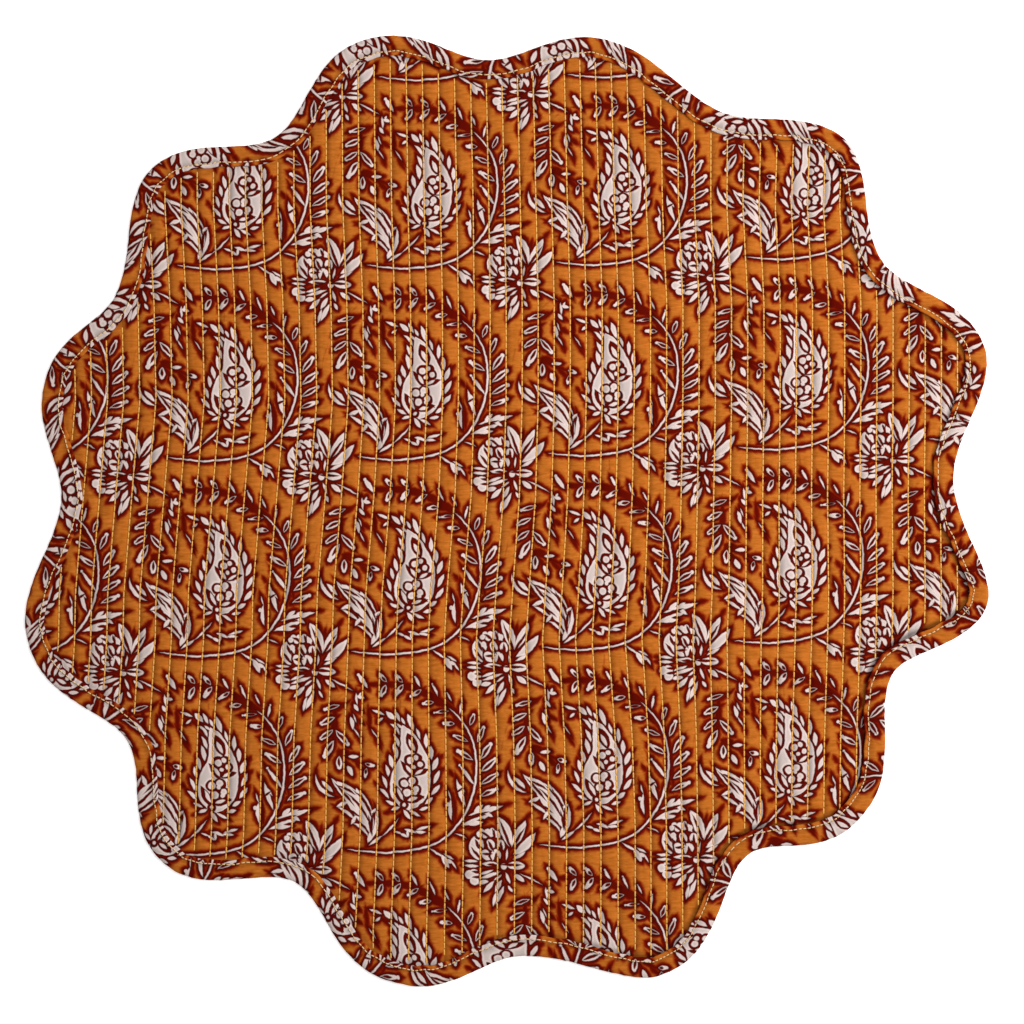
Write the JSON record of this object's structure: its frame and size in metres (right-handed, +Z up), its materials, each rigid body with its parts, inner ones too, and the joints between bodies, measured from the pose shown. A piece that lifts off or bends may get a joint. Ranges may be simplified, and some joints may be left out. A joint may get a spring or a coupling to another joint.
{
  "type": "quilted cloth placemat",
  "caption": "Round quilted cotton table mat with a scalloped edge, rows of straight stitching and a folded cloth binding, lying flat.",
  "frame": {"origin": "middle of the mat's bounding box, on the underside that lies on the table", "axes": "+Z up from the table, +Y along the rows of quilting towards the picture's top, +X to the picture's right"},
  "size_m": [0.3799, 0.375, 0.003],
  "materials": {
    "printed_cotton": "matt plain-weave cotton, ochre ground printed with maroon and cream paisleys, quilted in rows",
    "binding_cotton": "the same printed cotton, cut as a strip, folded over the edge and topstitched",
    "quilting_thread": "golden cotton sewing thread",
    "topstitch_thread": "cream cotton sewing thread"
  },
  "bodies": {
    "root": {"quilted_panel": "printed_cotton", "edge_binding": "binding_cotton"}
  },
  "joints": []
}
